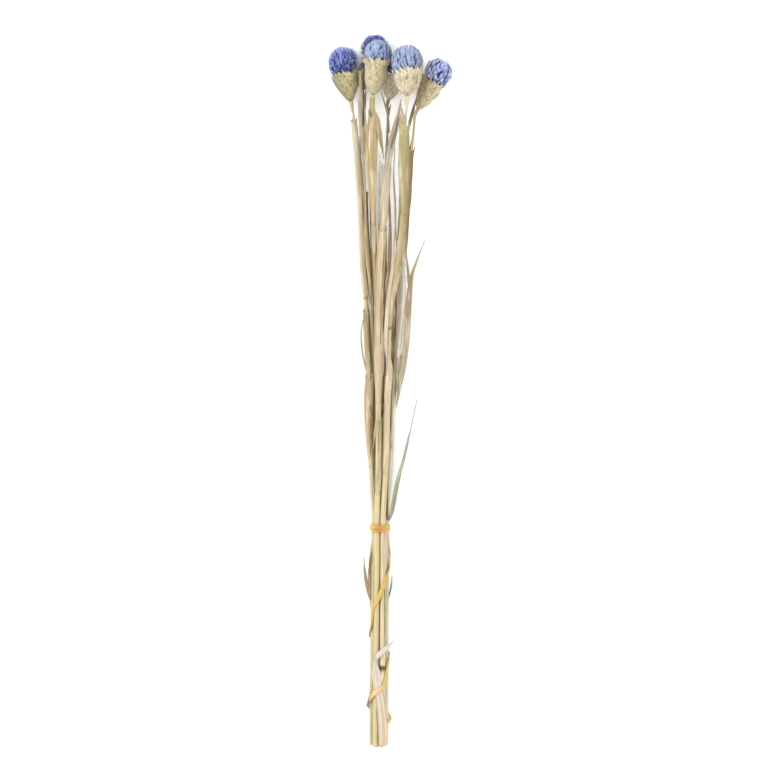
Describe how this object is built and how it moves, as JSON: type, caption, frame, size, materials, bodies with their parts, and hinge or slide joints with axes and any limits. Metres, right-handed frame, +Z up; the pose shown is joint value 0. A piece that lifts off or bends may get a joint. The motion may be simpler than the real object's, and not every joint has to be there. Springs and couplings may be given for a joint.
{
  "type": "globe thistle flower head",
  "caption": "Bunch of dried globe thistle stems with round blue flower heads on scaly cups, tied with a rubber band wound down the straw stems.",
  "frame": {"origin": "on the surface that the bunch lies on, under the middle turn of the band at the tie", "axes": "+Y along the bunch from the cut ends to the flower heads, +X to the right of a viewer who looks down at it, +Z up off the surface"},
  "size_m": [0.1215, 0.6999, 0.0628],
  "materials": {
    "straw": "dry, satin straw with fine lengthwise ribs",
    "bracts": "dry, matt, woolly bracts",
    "florets": "dyed, dry, soft florets",
    "elastic": "smooth, slightly shiny rubber"
  },
  "bodies": {
    "root": {"stem_1": "straw", "stem_2": "straw", "stem_3": "straw", "stem_4": "straw", "stem_5": "straw", "stem_6": "straw", "stem_7": "straw", "cup_1": "bracts", "cup_2": "bracts", "cup_3": "bracts", "cup_4": "bracts", "cup_5": "bracts", "cup_6": "bracts", "cup_7": "bracts", "bloom_1": "florets", "bloom_2": "florets", "bloom_3": "florets", "bloom_4": "florets", "bloom_5": "florets", "bloom_6": "florets", "bloom_7": "florets", "rubber_band": "elastic"}
  },
  "joints": []
}
